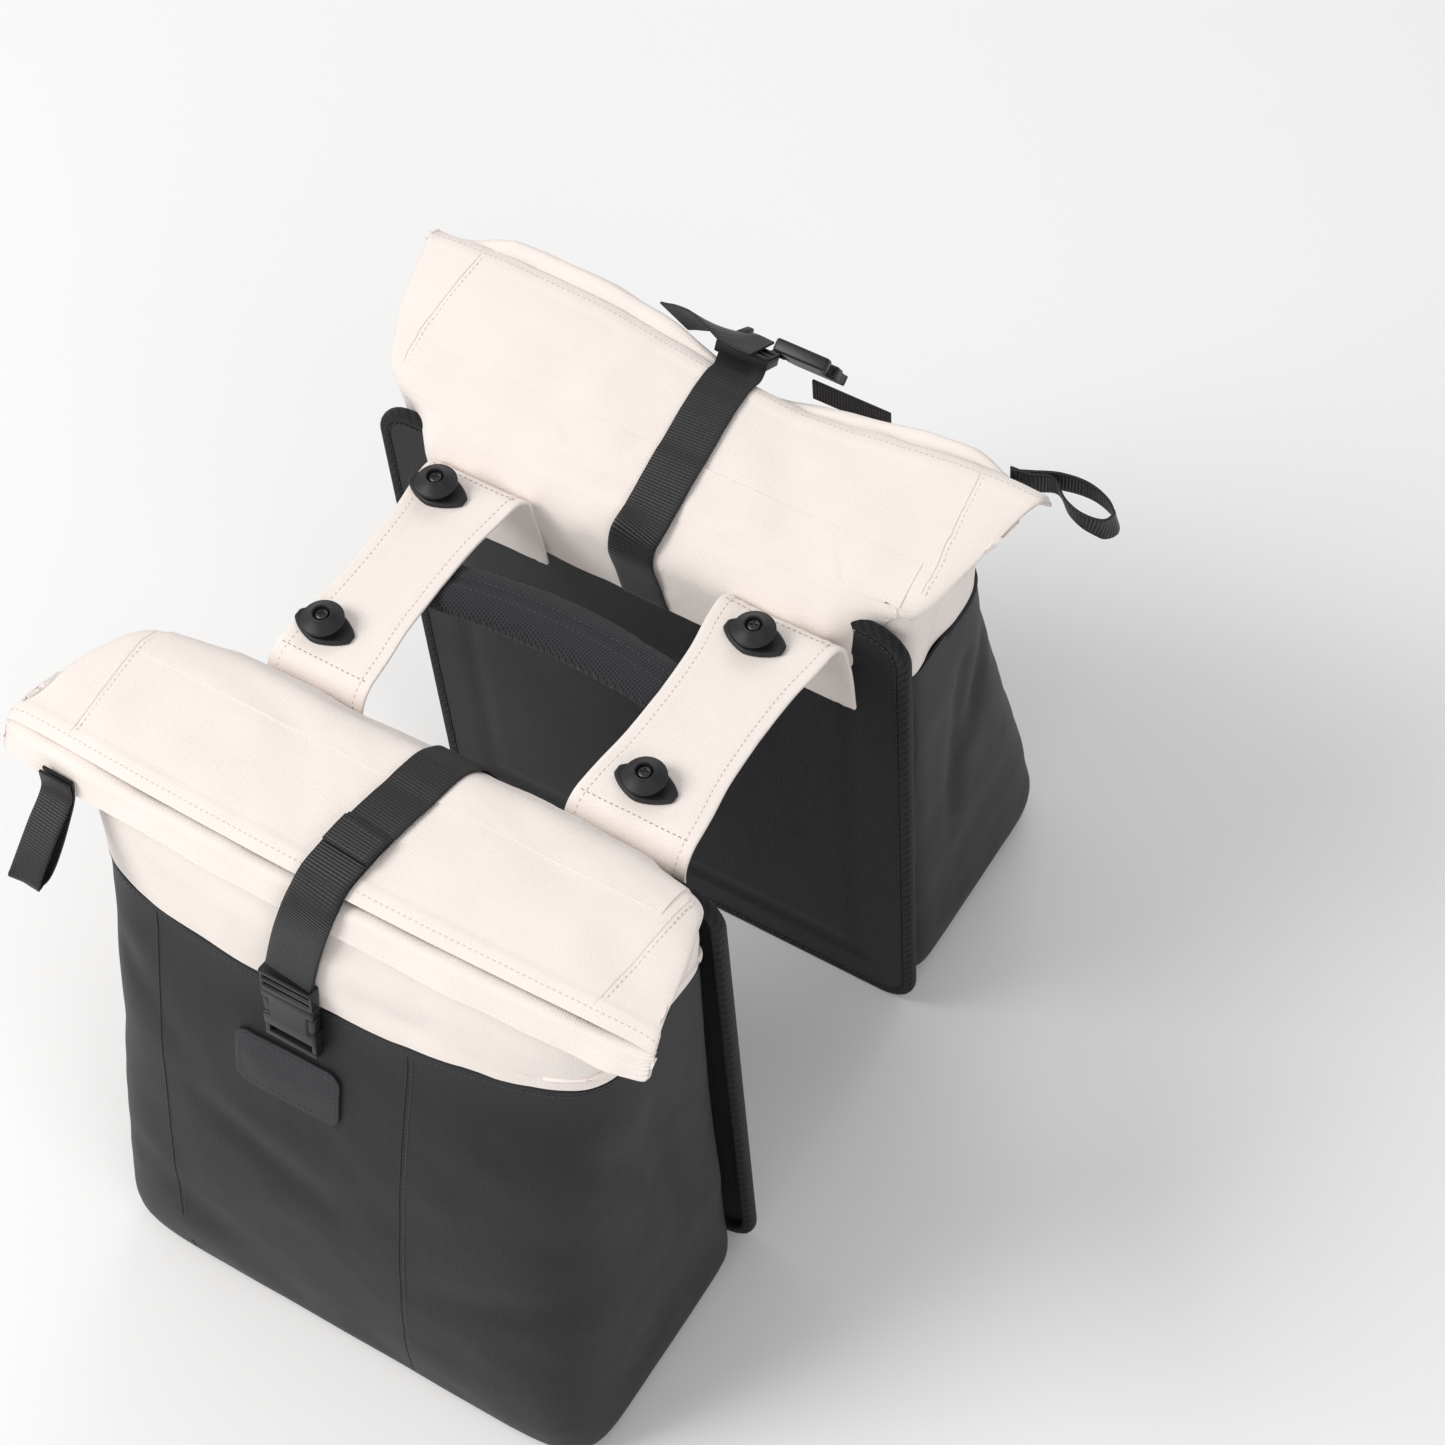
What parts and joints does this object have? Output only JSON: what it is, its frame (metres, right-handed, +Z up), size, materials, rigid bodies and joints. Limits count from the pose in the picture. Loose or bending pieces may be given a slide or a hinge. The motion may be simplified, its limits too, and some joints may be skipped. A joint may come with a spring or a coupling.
{
  "type": "double bicycle pannier",
  "caption": "Pair of roll-top bicycle panniers joined by two flaps that lie over a luggage rack, with strap closures, clamp knobs and a carry handle.",
  "frame": {"origin": "on the floor, below the middle of the whole, loops included", "axes": "+Z up, +X along the rack to the end with the wider flap, +Y from the right-hand bag to the left-hand one"},
  "size_m": [0.447, 0.5582, 0.4303],
  "materials": {
    "canvas": "pale off-white woven canvas",
    "coated": "charcoal coated weave with a dull sheen",
    "tape": "black twill binding",
    "webbing": "black ribbed webbing",
    "plastic": "black satin moulding",
    "patch": "smooth dark leatherette",
    "handle_mesh": "dark grey spacer mesh over foam",
    "screw": "blackened steel"
  },
  "bodies": {
    "root": {"right_lower_shell": "coated", "right_upper_shell": "canvas", "right_back_panel": "coated", "right_edge_binding": "tape", "right_strap": "webbing", "right_strap_tail": "webbing", "right_buckle_insert": "plastic", "right_buckle_socket": "plastic", "right_buckle_tab": "webbing", "right_patch": "patch", "right_pull_loop": "webbing", "left_lower_shell": "coated", "left_upper_shell": "canvas", "left_back_panel": "coated", "left_edge_binding": "tape", "left_strap": "webbing", "left_strap_tail": "webbing", "left_buckle_insert": "plastic", "left_buckle_socket": "plastic", "left_buckle_tab": "webbing", "left_patch": "patch", "left_pull_loop": "webbing", "rear_flap": "canvas", "front_flap": "canvas", "rear_right_plate": "plastic", "rear_right_knob": "plastic", "rear_right_screw": "screw", "rear_left_plate": "plastic", "rear_left_knob": "plastic", "rear_left_screw": "screw", "front_right_plate": "plastic", "front_right_knob": "plastic", "front_right_screw": "screw", "front_left_plate": "plastic", "front_left_knob": "plastic", "front_left_screw": "screw", "carry_handle": "handle_mesh"}
  },
  "joints": []
}
